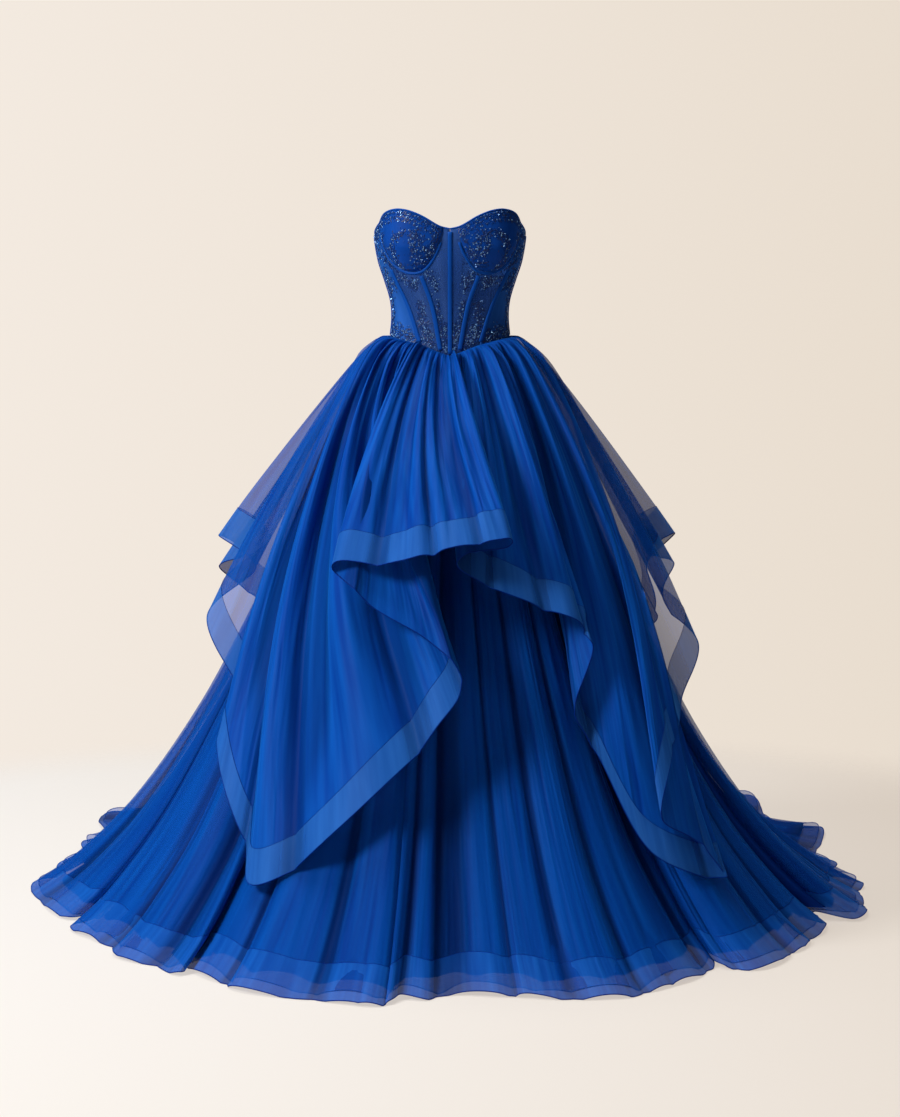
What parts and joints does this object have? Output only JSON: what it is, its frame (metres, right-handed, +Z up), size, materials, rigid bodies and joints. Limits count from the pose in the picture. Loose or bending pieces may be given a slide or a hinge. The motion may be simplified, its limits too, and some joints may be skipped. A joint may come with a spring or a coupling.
{
  "type": "strapless ball gown",
  "caption": "Strapless ball gown: boned sweetheart corset bodice with cups on a full gathered floor-length skirt with a train and a fluted overskirt; worn form, open at neck and hem.",
  "frame": {"origin": "middle of the waist opening, where the wearer's waist holds the gown", "axes": "+Z up, the front faces -Y, +X is to the right in a view of the front; the hem lies 1.134 m below the origin"},
  "size_m": [1.6906, 2.0513, 1.3805],
  "materials": {
    "bodice_cloth": "royal blue lace over satin, satin sheen",
    "bodice_net": "sheer blue net, matte",
    "satin_trim": "royal blue satin",
    "underskirt_cloth": "dense royal blue underskirt, matte",
    "organza": "sheer royal blue organza with a soft sheen",
    "organza_band": "doubled royal blue organza with a soft sheen",
    "painted_zip": "dark blue enamel"
  },
  "bodies": {
    "gown": {"back_left": "bodice_cloth", "back_right": "bodice_cloth", "bone_back_left": "satin_trim", "bone_back_right": "satin_trim", "bone_centre": "satin_trim", "bone_inner_left": "satin_trim", "bone_inner_right": "satin_trim", "bone_outer_left": "satin_trim", "bone_outer_right": "satin_trim", "bone_side_left": "satin_trim", "bone_side_right": "satin_trim", "cup_left": "bodice_cloth", "cup_right": "bodice_cloth", "front_mid_left": "bodice_net", "front_mid_right": "bodice_net", "front_panel_left": "bodice_net", "front_panel_right": "bodice_net", "neckline_binding": "satin_trim", "overskirt": "organza", "overskirt_hem_band": "organza_band", "side_back_left": "bodice_cloth", "side_back_right": "bodice_cloth", "side_front_left": "bodice_cloth", "side_front_right": "bodice_cloth", "skirt_hem_band": "organza_band", "skirt_inner": "organza", "skirt_outer": "organza", "underskirt": "underskirt_cloth", "underwire_left": "satin_trim", "underwire_right": "satin_trim", "zip_slider": "painted_zip", "zip_tape": "satin_trim"},
    "zip_tab": {"zip_tab": "painted_zip"}
  },
  "joints": [
    {"name": "zip_tab_hinge", "type": "hinge", "parent": "gown", "child": "zip_tab", "pos_m": [0, 0.09645, 0.187], "axis": [1, 0, 0], "range_deg": [0, 150]}
  ]
}
